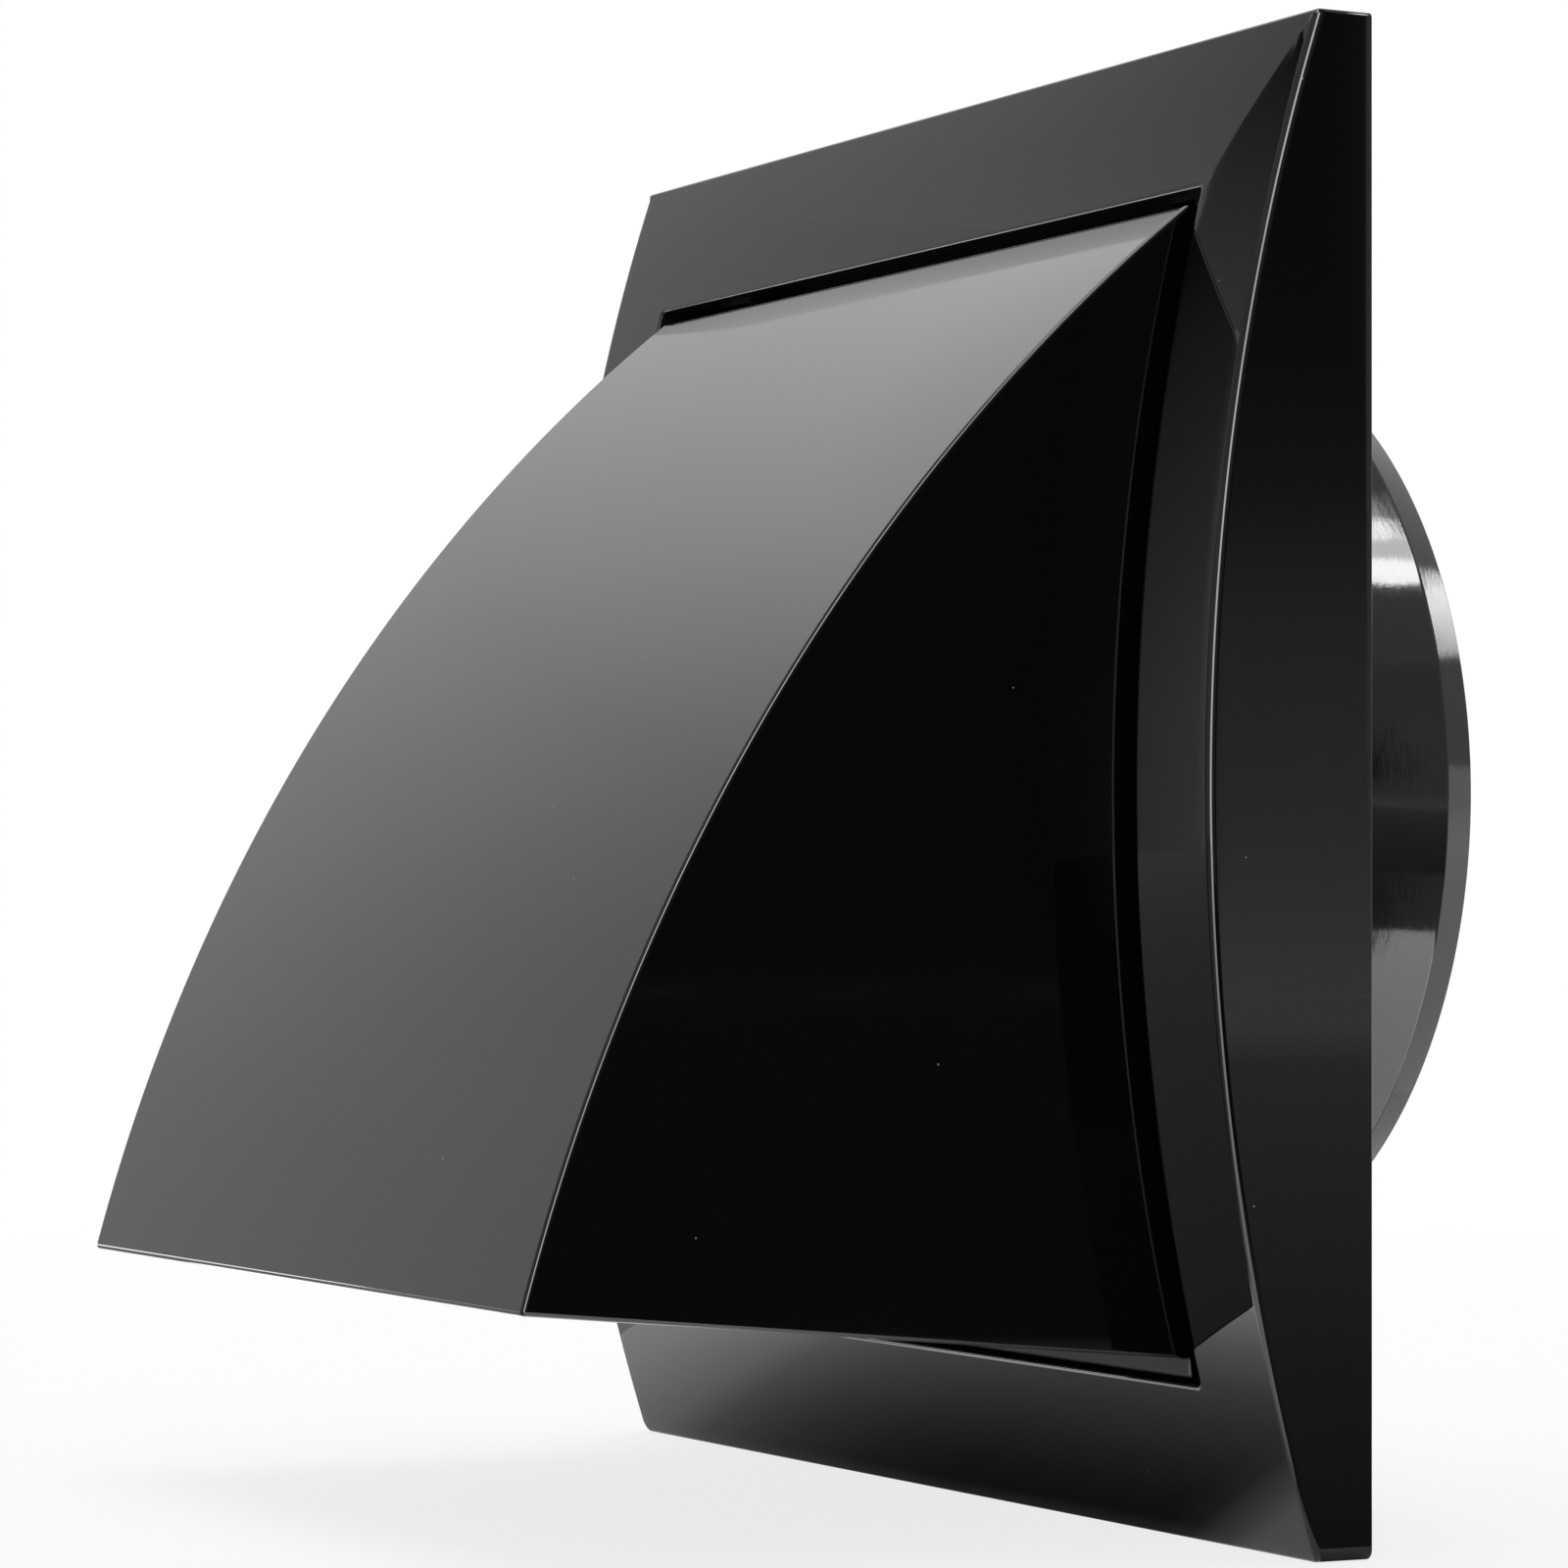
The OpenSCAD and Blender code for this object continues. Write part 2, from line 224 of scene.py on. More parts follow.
def makePlate():
    # One closed section carried round the plate: every ring runs once round, and each corner of the section
    # is a circular arc. Outer side, arched face, window, back wall, seat ring, bore, spigot, hollow, rim.
    p, fine = plate, plate["fineEdge"]
    inner = archRadius - p["wall"]
    outerXZ, outerOut = outline(*p["half"], p["outlineCorner"])
    windowXZ, windowOut = outline(*p["window"], p["windowCorner"])
    wallXZ, wallOut = outline(p["window"][0] + p["wall"], p["window"][1] + p["wall"], p["windowCorner"] + 1)
    insideXZ, insideOut = outline(p["half"][0] - p["wall"], p["half"][1] - p["wall"], p["outlineCorner"])
    sideEdge = np.interp(outerXZ[:, 1:], (-p["half"][1], p["half"][1]), p["sideEdge"])
    edge = p["topEdge"] + (sideEdge - p["topEdge"]) * outerOut[:, :1] ** 2
    fore, aft = along(-1.0), along(1.0)
    rings = [place(outerXZ, -1.0)[None]]
    rings.append(roundedEdge(place(outerXZ, faceY(outerXZ[:, 1], archRadius)), aft,
                             -faceDirection(outerXZ, outerOut, archRadius), edge, 8))
    corner = place(windowXZ, faceY(windowXZ[:, 1], archRadius))
    outwards = faceDirection(windowXZ, windowOut, archRadius)
    atSide, atTop = p["dipAngle"]
    angle = atSide + (atTop - atSide) * windowOut[:, 1:] ** 2
    dipStart, dipEnd = corner + outwards * p["dipWidth"], corner + aft * p["dipWidth"] * np.tan(angle)
    down = unit(dipEnd - dipStart)
    dip = roundedEdge(dipStart, outwards, down, p["dipRadius"], 4)
    rings += [between(rings[-1][-1], dip[0], 9, archRadius), dip]
    rings.append(roundedEdge(dipEnd, -down, aft, p["mouthEdge"], 6))
    rings.append(roundedEdge(place(windowXZ, -p["backWall"]), fore, -flatDirection(windowOut), fine, 3))
    seat, seatOut = circle(p["boreRadius"] + p["seat"][1])
    bore, boreOut = circle(p["boreRadius"])
    seatY = -p["backWall"] - p["seat"][0]
    foot = roundedEdge(place(seat, -p["backWall"]), flatDirection(seatOut), fore, 0.2, 2)
    rings += [between(rings[-1][-1], foot[0], 3), foot]
    rings.append(roundedEdge(place(seat, seatY), aft, -flatDirection(seatOut), fine, 3))
    rings.append(roundedEdge(place(bore, seatY), flatDirection(boreOut), aft, fine, 3))
    rings.append(between(rings[-1][-1], place(bore, p["spigotLength"] - fine), 5))
    rings.append(roundedEdge(place(bore, p["spigotLength"]), fore, flatDirection(boreOut), fine * 0.8, 3))
    tip, tipOut = circle(p["spigotRadius"] - p["taper"][1])
    shoulder, shoulderOut = circle(p["spigotRadius"])
    shoulderY = p["spigotLength"] - p["taper"][0]
    slope = unit(place(shoulder, shoulderY) - place(tip, p["spigotLength"]))
    rings.append(roundedEdge(place(tip, p["spigotLength"]), -flatDirection(tipOut), slope, fine * 0.8, 3))
    rings.append(roundedEdge(place(shoulder, shoulderY), -slope, fore, 1.2, 3))
    rings.append(between(rings[-1][-1], place(shoulder, 0.5), 6))
    rings.append(roundedEdge(place(shoulder, 0.0), aft, flatDirection(shoulderOut), 0.4, 3))
    rim = roundedEdge(place(wallXZ, 0.0), -flatDirection(wallOut), fore, fine, 3)
    rings += [between(rings[-1][-1], rim[0], 3), rim]
    rings.append(roundedEdge(place(wallXZ, faceY(wallXZ[:, 1], inner)), aft,
                             faceDirection(wallXZ, wallOut, inner), 0.6, 3))
    ceiling = roundedEdge(place(insideXZ, faceY(insideXZ[:, 1], inner)),
                          -faceDirection(insideXZ, insideOut, inner), aft, 0.6, 3)
    rings += [between(rings[-1][-1], ceiling[0], 4, inner), ceiling]
    rings.append(roundedEdge(place(insideXZ, 0.0), fore, flatDirection(insideOut), fine, 3))
    rings.append(roundedEdge(place(outerXZ, 0.0), -flatDirection(outerOut), fore, p["backEdge"], 3))
    grid = np.concatenate(rings)
    return makePiece("plateAndSpigot", grid, gridFaces(*grid.shape[:2], True))


def prism(name, shape, low, high):
    # A shape drawn in Y and Z, carried across X between two limits, which may change with Y
    y, z = np.asarray(shape, float).T
    ends = [np.stack([np.broadcast_to(x(y) if callable(x) else x, y.shape), y, z], -1) for x in (low, high)]
    count = len(y)
    i = np.arange(count)
    walls = np.stack([i, np.roll(i, -1), np.roll(i, -1) + count, i + count], -1).tolist()
    return makePiece(name, np.concatenate(ends), walls + [i[::-1].tolist(), (i + count).tolist()])


def turned(name, profile, centre, axis="Y", count=64):
    # A closed profile of radius and height turned about a line along the axis; it closes on itself
    radius, height = np.asarray(profile, float).T
    a = np.linspace(0, 2 * math.pi, count, endpoint=False)
    ring = np.stack([radius[:, None] * np.cos(a), np.repeat(height[:, None], count, 1),
                     radius[:, None] * np.sin(a)], -1)
    if axis == "X":
        ring = ring[..., [1, 0, 2]]
    return ring + np.asarray(centre, float)


def solidOfRings(name, rings):
    # Rings with a flat cap on the first and the last
    rows, cols = rings.shape[:2]
    caps = [list(range(cols))[::-1], list(range((rows - 1) * cols, rows * cols))]
    return makePiece(name, rings, gridFaces(rows, cols, False) + caps)


def rodProfile(radius, low, high, edge, steps=4):
    # A rod's half section with round ends
    a = np.linspace(0, math.pi / 2, steps + 1)
    first = np.stack([radius - edge + edge * np.sin(a), low + edge - edge * np.cos(a)], -1)
    last = np.stack([radius - edge + edge * np.cos(a), high - edge + edge * np.sin(a)], -1)
    return np.concatenate([first, last])


ribs = {"thick": 1.6, "span": 59.0, "setback": 1.0, "bite": 0.8}
fixing = {"x": 50.0, "z": 50.0, "hole": 2.25, "pad": 4.25, "padHeight": 0.8, "lead": 0.35}
clips = {"x": 51.15, "width": 8.0, "y": -6.4, "depth": 3.6, "play": 0.3, "reach": 1.6}


def plateAdditions():
    # Ribs behind the arched face, the raised rings for the screws and the two hinge ears, before they are joined
    made = []
    half, wall = plate["half"][0], plate["wall"]
    inner = archRadius - wall
    for side in (-1, 1):
        for place_ in (-1, 1):
            z = place_ * ribs["span"] / 2
            x = sorted((side * (plate["window"][0] + wall - ribs["bite"]), side * (half - wall + ribs["bite"])))
            top = faceY(abs(z) + ribs["thick"] / 2, inner) - ribs["bite"]
            zz = np.array([z - ribs["thick"] / 2, z + ribs["thick"] / 2])
            shape = [(top, zz[0]), (-ribs["setback"], zz[0]), (-ribs["setback"], zz[1]), (top, zz[1])]
            made.append(prism("rib", shape, *x))
            zr = np.linspace(plate["window"][1] + wall - ribs["bite"], half - wall + ribs["bite"], 9) * side
            arch = [(faceY(v, inner) - ribs["bite"], v) for v in zr]
            foot = [(-ribs["setback"], zr[-1]), (-ribs["setback"], zr[0])]
            x = place_ * ribs["span"] / 2
            made.append(prism("rib", arch + foot, x - ribs["thick"] / 2, x + ribs["thick"] / 2))
    for x in (-fixing["x"], fixing["x"]):
        for z in (-fixing["z"], fixing["z"]):
            low = -plate["backWall"] - fixing["padHeight"]
            rings = turned("pad", rodProfile(fixing["pad"], low, -plate["backWall"] / 2, 0.25), (x, 0, z))
            made.append(solidOfRings("pad", rings))
    y, z, r = hinge["y"], hinge["z"], hinge["earRadius"]
    a = np.linspace(math.pi / 2, 3 * math.pi / 2, 33)
    ear = [(y + r * math.cos(t), z + r * math.sin(t)) for t in a]
    foot = -plate["backWall"] / 2
    ear += [(foot, z - r), (foot, z + r)]
    for side in (-1, 1):
        x = sorted((side * hinge["earX"], side * (hinge["earX"] + hinge["earWidth"])))
        piece = prism("ear", ear, *x)
        roundEdges(piece, 0.25, 2)
        made.append(piece)
    return made


def plateCuts():
    made = []
    for x in (-fixing["x"], fixing["x"]):
        for z in (-fixing["z"], fixing["z"]):
            low = -plate["backWall"] - fixing["padHeight"]
            r, lead = fixing["hole"], fixing["lead"]
            profile = [(r + lead + 1, low - 1), (r, low + lead), (r, 1)]
            made.append(solidOfRings("hole", turned("hole", profile, (x, 0, z))))
    reach = hinge["pinRadius"] + hinge["play"]
    end = hinge["earX"] + hinge["earWidth"] + 1
    for side in (-1, 1):
        x0, x1 = sorted((side * (hinge["earX"] - 1), side * end))
        rings = turned("eye", [(reach, x0), (reach, x1)], (0, hinge["y"], hinge["z"]), "X", 48)
        made.append(solidOfRings("eye", rings))
    y0, y1 = clips["y"] - clips["play"], clips["y"] + clips["depth"] + clips["play"]
    for up in (-1, 1):
        z0, z1 = sorted((up * (plate["window"][1] - 1), up * (plate["window"][1] + plate["wall"] + 1)))
        for side in (-1, 1):
            wide = clips["width"] / 2 + clips["play"]
            shape = [(y0, z0), (y1, z0), (y1, z1), (y0, z1)]
            made.append(prism("slot", shape, side * clips["x"] - wide, side * clips["x"] + wide))
    return made


def joinTools(tools, name):
    # Several closed tools that don't touch each other become one mesh
    meshes = []
    for tool in tools:
        bake(tool)
        meshes.append(tool.data)
    points, faces, first = [], [], 0
    for mesh in meshes:
        co = np.zeros(len(mesh.vertices) * 3)
        mesh.vertices.foreach_get("co", co)
        points.append(co.reshape(-1, 3) / mm)
        faces += [[v + first for v in polygon.vertices] for polygon in mesh.polygons]
        first += len(mesh.vertices)
    for tool in tools:
        bpy.data.objects.remove(tool)
    return makePiece(name, np.concatenate(points), faces)


baseFrame = makePlate()
additions = joinTools(plateAdditions(), "additions")
cuts = joinTools(plateCuts(), "cuts")
combine(baseFrame, "UNION", additions)
combine(baseFrame, "DIFFERENCE", cuts)
bake(baseFrame, [additions, cuts])
smooth(baseFrame)
print("plate made:", len(baseFrame.data.polygons), "faces")


# The hood

hood = {
    "reach": 81.4,              # how far the lip stands out from the wall
    "top": 56.7, "bottom": -57.6, "lip": -49.5,
    "back": -2.5,
    "half": 58.75,              # half its width at the back
    "draft": math.radians(1.08),
    "slope": math.radians(5),   # slope of the side walls' lower edge
    "sheetRadius": 203.4,
    "wall": 2.0,
    "railHeight": 4.6,
    "railSkim": 0.06,           # cut off the rail's front, so that it is one clean face
    "edge": 0.5,                # rounding of the outer edges
    "innerEdge": 0.4,
    "steps": 120,
}


def sheetAxis():
    # The centre of the circle through the flange's front edge and the lip
    start = np.array([faceY(hood["top"], archRadius), hood["top"]])
    end = np.array([-hood["reach"], hood["lip"]])
    chord = end - start
    half = np.linalg.norm(chord) / 2
    return (start + end) / 2 + np.array([-chord[1], chord[0]]) / (2 * half) * math.sqrt(
        hood["sheetRadius"] ** 2 - half ** 2), start, end


def arc(centre, start, end, steps):
    a0, a1 = (math.atan2(*(p - centre)[::-1]) for p in (start, end))
    a = np.linspace(a0, a0 + (a1 - a0 + math.pi) % (2 * math.pi) - math.pi, steps + 1)
    return centre + np.linalg.norm(start - centre) * np.stack([np.cos(a), np.sin(a)], -1)


def makeHood():
    # Two prisms of the same kind, one inside the other: what is left between them is the hood's wall and rail
    h = hood
    centre, start, end = sheetAxis()
    railY = faceY(h["bottom"], archRadius)
    low = lambda y: h["lip"] - (h["reach"] + y) * math.tan(h["slope"])
    outer = [(h["back"], h["top"]), *arc(centre, start, end, h["steps"]), (railY, low(railY)),
             (railY, h["bottom"]), (h["back"], h["bottom"])]
    wide = lambda y, inset=0.0: h["half"] - inset - (h["back"] - y) * math.tan(h["draft"])
    piece = prism("hoodShell", outer, lambda y: -wide(y), lambda y: wide(y))
    roundEdges(piece, h["edge"], 4)
    r, ceiling, floor = h["sheetRadius"] - h["wall"], h["top"] - h["wall"], h["bottom"] - 3
    innerStart = np.array([centre[0] - math.sqrt(r ** 2 - (ceiling - centre[1]) ** 2), ceiling])
    innerEnd = np.array([centre[0] - math.sqrt(r ** 2 - (floor - centre[1]) ** 2), floor])
    wall = h["wall"]
    railFront, railTop = railY + h["railSkim"], h["bottom"] + h["railHeight"]
    room = [(1.0, ceiling), *arc(centre, innerStart, innerEnd, h["steps"]), (railFront, floor),
            (railFront, railTop), (railY + wall, railTop), (railY + wall, h["bottom"] + wall),
            (1.0, h["bottom"] + wall)]
    cutter = prism("hoodRoom", room, lambda y: -wide(y, wall), lambda y: wide(y, wall))
    roundEdges(cutter, h["innerEdge"], 3)
    bake(cutter)
    combine(piece, "DIFFERENCE", cutter)
    top = low(railY) - h["railSkim"]
    skim = prism("railSkim", [(railY - 1, floor), (railFront, floor), (railFront, top), (railY - 1, top)],
                 -h["half"] - 1, h["half"] + 1)
    combine(piece, "DIFFERENCE", skim)
    bake(piece, [cutter, skim])
    return piece


def makeClips():
    # Wedges that slide past the window's edge and catch in its slots
    made = []
    c = clips
    for up in (-1, 1):
        z = hood["top"] if up > 0 else hood["bottom"]
        reach = c["reach"] + plate["window"][1] - abs(z)
        front, back = c["y"], c["y"] + c["depth"]
        shape = [(front, z - up), (front, z), (front + 1.3, z + up * reach), (back - 1.5, z + up * reach),
                 (back, z), (back, z - up)]
        for side in (-1, 1):
            piece = prism("clip", shape, side * c["x"] - c["width"] / 2, side * c["x"] + c["width"] / 2)
            roundEdges(piece, 0.25, 3)
            made.append(piece)
    return made


hoodCowl = makeHood()
hoodCowl.name = "curvedHood"
clipTools = joinTools(makeClips(), "clips")
combine(hoodCowl, "UNION", clipTools)
bake(hoodCowl, [clipTools])
smooth(hoodCowl)
print("hood made:", len(hoodCowl.data.polygons), "faces")


# The flap and its pin

flap = {
    "y": -4.8, "thick": 1.6, "radius": 51.5,
    "ribHeight": 1.5, "ribThick": 1.6, "ribSpan": 36.0, "ribLength": 88.0,
    "barrel": 1.9, "barrelLength": 60.0, "bore": 1.05, "edge": 0.25,
}


def plateXZ(name, shape, yFront, yBack, edge, segments=2):
    # A shape drawn in X and Z, carried from front to back
    x, z = np.asarray(shape, float).T
    ends = [np.stack([x, np.full_like(x, y), z], -1) for y in (yFront, yBack)]
    i = np.arange(len(x))
    walls = np.stack([i, np.roll(i, -1), np.roll(i, -1) + len(x), i + len(x)], -1).tolist()
    piece = makePiece(name, np.concatenate(ends), walls + [i[::-1].tolist(), (i + len(x)).tolist()])
    roundEdges(piece, edge, segments)
    return piece


def makeFlap():
    f = flap
    front, top = f["y"] - f["thick"], hinge["z"]
    ribFront = front - f["ribHeight"]
    half = f["barrelLength"] / 2
    start = math.asin(math.sqrt(f["radius"] ** 2 - half ** 2) / f["radius"])
    a = np.linspace(start, -math.pi - start, 193)
    disc = [(half, top), *zip(f["radius"] * np.cos(a), f["radius"] * np.sin(a)), (-half, top)]
    piece = plateXZ("gravityFlap", disc, front, f["y"], f["edge"])
    bake(piece)
    rimTop = start - f["ribThick"] / f["radius"]
    a = np.linspace(rimTop, -math.pi - rimTop, 161)
    out, inn = (np.stack([r * np.cos(a), r * np.sin(a)], -1) for r in (f["radius"] - 0.05, f["radius"] - f["ribThick"]))
    rim = plateXZ("rim", np.concatenate([out, inn[::-1]]), ribFront, front + f["thick"] / 2, f["edge"])
    combine(piece, "UNION", rim)
    bake(piece, [rim])
    bars = []
    for side in (-1, 1):
        x = side * f["ribSpan"] / 2
        w = f["ribThick"] / 2
        shape = [(x - w, top - f["ribLength"]), (x + w, top - f["ribLength"]), (x + w, top), (x - w, top)]
        bars.append(plateXZ("bar", shape, ribFront, front + f["thick"] / 2, f["edge"]))
    tool = joinTools(bars, "bars")
    combine(piece, "UNION", tool)
    bake(piece, [tool])
    rings = turned("barrel", rodProfile(f["barrel"], -half, half, 0.2), (0, hinge["y"], hinge["z"]), "X", 64)
    barrel = solidOfRings("barrel", rings)
    combine(piece, "UNION", barrel)
    bake(piece, [barrel])
    rings = turned("bore", [(f["bore"], -half - 1), (f["bore"], half + 1)], (0, hinge["y"], hinge["z"]), "X", 64)
    bore = solidOfRings("bore", rings)
    combine(piece, "DIFFERENCE", bore)
    bake(piece, [bore])
    smooth(piece)
    return piece


def makePin():
    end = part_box("flap_pin")[1].x / mm
    rings = turned("pin", rodProfile(hinge["pinRadius"], -end, end, 0.3), (0, hinge["y"], hinge["z"]), "X", 48)
    piece = solidOfRings("hingePin", rings)
    smooth(piece)
    return piece


gravityFlap = makeFlap()
hingePin = makePin()
print("flap and pin made:", len(gravityFlap.data.polygons), "faces")


# Materials

def linear(hexColour):
    # sRGB hex to the linear values that the shaders take
    parts = [int(hexColour[i:i + 2], 16) / 255 for i in (1, 3, 5)]
    return (*[v / 12.92 if v <= 0.04045 else ((v + 0.055) / 1.055) ** 2.4 for v in parts], 1.0)


def addNode(tree, kind, links=None, **settings):
    node = tree.nodes.new("ShaderNode" + kind)
    for name, value in settings.items():
        setattr(node, name, value)
    for socket, value in (links or {}).items():
        if isinstance(value, bpy.types.NodeSocket):
            tree.links.new(value, node.inputs[socket])
        else:
            node.inputs[socket].default_value = value
    return node


def newMaterial(name):
    material = bpy.data.materials.new(name)
    material.use_nodes = True
    tree = material.node_tree
    tree.nodes.clear()
    place_ = addNode(tree, "TexCoord").outputs["Object"]
    return material, tree, place_


def finishMaterial(material, tree, shader):
    out = addNode(tree, "OutputMaterial")
    tree.links.new(shader.outputs[0], out.inputs["Surface"])
    return material


glossAbs = {
    "colour": "#080809", "roughness": (0.006, 0.018), "ior": 1.54,
    "waveSize": 22.0, "waveHeight": 0.0035,      # slow waviness of a thin moulded wall
    "streak": (1.6, 0.7), "streakHeight": 0.005,  # polishing marks of the spigot's mould, round it and along it
    "swell": 7.0, "swellHeight": 0.035,          # unevenness of the turned faces behind the wall plane
    "inside": 0.35,                              # extra roughness in the window, behind the arched face
}


dust = {"colour": "#9a9894", "pitch": 6.5, "size": 0.09}


def dusted(tree, spot, colour):
    # The base colour with a few tiny specks of dust on it, where a cell's random point lies near the surface
    cells = addNode(tree, "TexVoronoi", {"Vector": spot, "Scale": 1 / (dust["pitch"] * mm)}, feature="F1")
    speck = addNode(tree, "Math", {0: cells.outputs["Distance"], 1: dust["size"] / dust["pitch"]},
                    operation="LESS_THAN")
    mix = addNode(tree, "Mix", {0: speck.outputs[0], 6: linear(colour), 7: linear(dust["colour"])},
                  data_type="RGBA")
    return mix.outputs[2]


def plateMaterial():
    # ABS moulded against a polished mould: black with mirror-like, slightly wavy reflections. Behind the wall
    # plane the mould was turned and only drawn over with fine stone, so that reflections break up into streaks.
    m = glossAbs
    material, tree, spot = newMaterial("glossBlackAbs")
    wave = addNode(tree, "TexNoise", {"Vector": spot, "Scale": 1 / (m["waveSize"] * mm), "Detail": 1.0})
    blotch = addNode(tree, "TexNoise", {"Vector": spot, "Scale": 1 / (7 * mm), "Detail": 3.0})
    split = addNode(tree, "SeparateXYZ", {"Vector": spot})
    behind = addNode(tree, "MapRange", {"Value": split.outputs["Y"], "From Min": 0.0, "From Max": 0.6 * mm})
    round_, along_ = (1 / (v * mm) for v in m["streak"])
    streakSpot = addNode(tree, "Mapping", {"Vector": spot, "Scale": (round_, along_, round_)})
    streak = addNode(tree, "TexNoise", {"Vector": streakSpot.outputs[0], "Scale": 1.0, "Detail": 4.0,
                                        "Roughness": 0.65})
    amount = addNode(tree, "Math", {0: streak.outputs["Fac"], 1: behind.outputs[0]}, operation="MULTIPLY")
    low, high = m["roughness"]
    rough = addNode(tree, "MapRange", {"Value": blotch.outputs["Fac"], "From Min": 0.3, "From Max": 0.7,
                                       "To Min": low, "To Max": high})
    hazier = addNode(tree, "Math", {0: amount.outputs[0], 1: 0.12, 2: rough.outputs[0]}, operation="MULTIPLY_ADD")
    inWindow = None
    for axis, limit in (("X", plate["window"][0]), ("Z", plate["window"][1])):
        size = addNode(tree, "Math", {0: split.outputs[axis]}, operation="ABSOLUTE")
        near = addNode(tree, "Math", {0: size.outputs[0], 1: (limit + 0.05) * mm}, operation="LESS_THAN")
        inWindow = near if inWindow is None else addNode(tree, "Math", {0: near.outputs[0], 1: inWindow.outputs[0]},
                                                         operation="MULTIPLY")
    before = addNode(tree, "Math", {0: split.outputs["Y"], 1: -2.0 * mm}, operation="LESS_THAN")
    inWindow = addNode(tree, "Math", {0: inWindow.outputs[0], 1: before.outputs[0]}, operation="MULTIPLY")
    hazier = addNode(tree, "Math", {0: inWindow.outputs[0], 1: m["inside"], 2: hazier.outputs[0]},
                     operation="MULTIPLY_ADD")
    waviness = addNode(tree, "Bump", {"Height": wave.outputs["Fac"], "Strength": 1.0,
                                      "Distance": m["waveHeight"] * mm})
    swell = addNode(tree, "TexNoise", {"Vector": spot, "Scale": 1 / (m["swell"] * mm), "Detail": 1.0})
    swollen = addNode(tree, "Math", {0: swell.outputs["Fac"], 1: behind.outputs[0]}, operation="MULTIPLY")
    uneven = addNode(tree, "Bump", {"Height": swollen.outputs[0], "Strength": 1.0,
                                    "Distance": m["swellHeight"] * mm, "Normal": waviness.outputs[0]})
    marks = addNode(tree, "Bump", {"Height": amount.outputs[0], "Strength": 1.0,
                                   "Distance": m["streakHeight"] * mm, "Normal": uneven.outputs[0]})
    shader = addNode(tree, "BsdfPrincipled", {"Base Color": dusted(tree, spot, m["colour"]), "IOR": m["ior"],
                                              "Roughness": hazier.outputs[0], "Normal": marks.outputs[0]})
    return finishMaterial(material, tree, shader)


hoodAbs = {"colour": "#070708", "roughness": (0.03, 0.06), "ior": 1.54, "waveSize": 26.0, "waveHeight": 0.004}


def hoodMaterial():
    # The same ABS from a mould with a finer stoned finish: still glossy, but reflections are a little soft
    m = hoodAbs
    material, tree, spot = newMaterial("hazyBlackAbs")
    wave = addNode(tree, "TexNoise", {"Vector": spot, "Scale": 1 / (m["waveSize"] * mm), "Detail": 1.0})
    blotch = addNode(tree, "TexNoise", {"Vector": spot, "Scale": 1 / (9 * mm), "Detail": 4.0})
    low, high = m["roughness"]
    rough = addNode(tree, "MapRange", {"Value": blotch.outputs["Fac"], "From Min": 0.3, "From Max": 0.7,
                                       "To Min": low, "To Max": high})
    waviness = addNode(tree, "Bump", {"Height": wave.outputs["Fac"], "Strength": 1.0,
                                      "Distance": m["waveHeight"] * mm})
    shader = addNode(tree, "BsdfPrincipled", {"Base Color": dusted(tree, spot, m["colour"]), "IOR": m["ior"],
                                              "Roughness": rough.outputs[0], "Normal": waviness.outputs[0]})
    return finishMaterial(material, tree, shader)


satinAbs = {"colour": "#101011", "roughness": 0.38, "ior": 1.54, "grain": 0.5, "grainHeight": 0.006}


def flapMaterial():
    # ABS from a spark-eroded mould: an even satin grain. The real grain is about 0.1 mm and is drawn coarser.
    m = satinAbs
    material, tree, spot = newMaterial("satinBlackAbs")
    grain = addNode(tree, "TexNoise", {"Vector": spot, "Scale": 1 / (m["grain"] * mm), "Detail": 2.0})
    bump = addNode(tree, "Bump", {"Height": grain.outputs["Fac"], "Strength": 1.0,
                                  "Distance": m["grainHeight"] * mm})
    rough = addNode(tree, "MapRange", {"Value": grain.outputs["Fac"], "To Min": m["roughness"] - 0.06,
                                       "To Max": m["roughness"] + 0.06})
    shader = addNode(tree, "BsdfPrincipled", {"Base Color": linear(m["colour"]), "IOR": m["ior"],
                                              "Roughness": rough.outputs[0], "Normal": bump.outputs[0]})
    return finishMaterial(material, tree, shader)


drawnSteel = {"colour": "#b9bbbd", "roughness": 0.24, "linePitch": 0.15, "lineHeight": 0.002}


def pinMaterial():
    # Bright drawn steel wire: fine lines along the rod from the die, which stretch its highlights
    m = drawnSteel
    material, tree, spot = newMaterial("drawnSteel")
    fine = 1 / (m["linePitch"] * mm)
    lineSpot = addNode(tree, "Mapping", {"Vector": spot, "Scale": (60.0, fine, fine)})
    lines = addNode(tree, "TexNoise", {"Vector": lineSpot.outputs[0], "Scale": 1.0, "Detail": 2.0})
    bump = addNode(tree, "Bump", {"Height": lines.outputs["Fac"], "Strength": 1.0,
                                  "Distance": m["lineHeight"] * mm})
    rough = addNode(tree, "MapRange", {"Value": lines.outputs["Fac"], "To Min": m["roughness"] - 0.08,
                                       "To Max": m["roughness"] + 0.08})
    shader = addNode(tree, "BsdfPrincipled", {"Base Color": linear(m["colour"]), "Metallic": 1.0,
                                              "Roughness": rough.outputs[0], "Normal": bump.outputs[0]})
    return finishMaterial(material, tree, shader)


def dress(piece, material, body, node):
    piece.data.materials.clear()
    piece.data.materials.append(material)
    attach(piece, body)
    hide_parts(node)


dress(baseFrame, plateMaterial(), "housing", "base_frame")
dress(hoodCowl, hoodMaterial(), "housing", "hood_cowl")
dress(gravityFlap, flapMaterial(), "flap", "backdraft_flap")
dress(hingePin, pinMaterial(), "housing", "flap_pin")
print("materials made")


# Camera at the photograph's place, in metres and degrees

